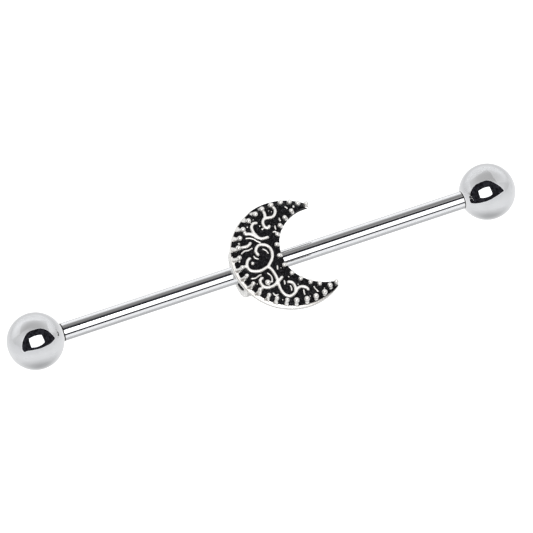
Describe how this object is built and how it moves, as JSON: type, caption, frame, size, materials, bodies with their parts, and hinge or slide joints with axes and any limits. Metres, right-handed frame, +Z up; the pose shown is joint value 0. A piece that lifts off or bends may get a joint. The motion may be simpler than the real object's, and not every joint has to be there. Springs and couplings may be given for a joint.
{
  "type": "industrial barbell",
  "caption": "Straight industrial barbell with plain end balls and a sliding cast crescent moon charm in raised filigree.",
  "frame": {"origin": "middle of the bar's axis, halfway between the two balls", "axes": "+X along the bar towards the right ball, +Z up as the barbell lies on a table, the moon's face looks towards -Y and up"},
  "size_m": [0.0478, 0.0085, 0.0068],
  "materials": {
    "polished_steel": "mirror polished surgical steel",
    "antiqued_silver": "cast and antiqued, with blackened hollows and bright raised parts"
  },
  "bodies": {
    "shank": {"shank": "polished_steel"},
    "moon_charm": {"moon_charm": "antiqued_silver"},
    "ball_left": {"ball_left": "polished_steel"},
    "ball_right": {"ball_right": "polished_steel"}
  },
  "joints": [
    {"name": "charm_slide", "type": "slide", "parent": "shank", "child": "moon_charm", "axis": [1, 0, 0], "range_m": [-0.0157, 0.0172]},
    {"name": "ball_left_unscrew", "type": "slide", "parent": "shank", "child": "ball_left", "axis": [-1, 0, 0], "range_m": [0, 0.006]},
    {"name": "ball_right_unscrew", "type": "slide", "parent": "shank", "child": "ball_right", "axis": [1, 0, 0], "range_m": [0, 0.006]}
  ]
}
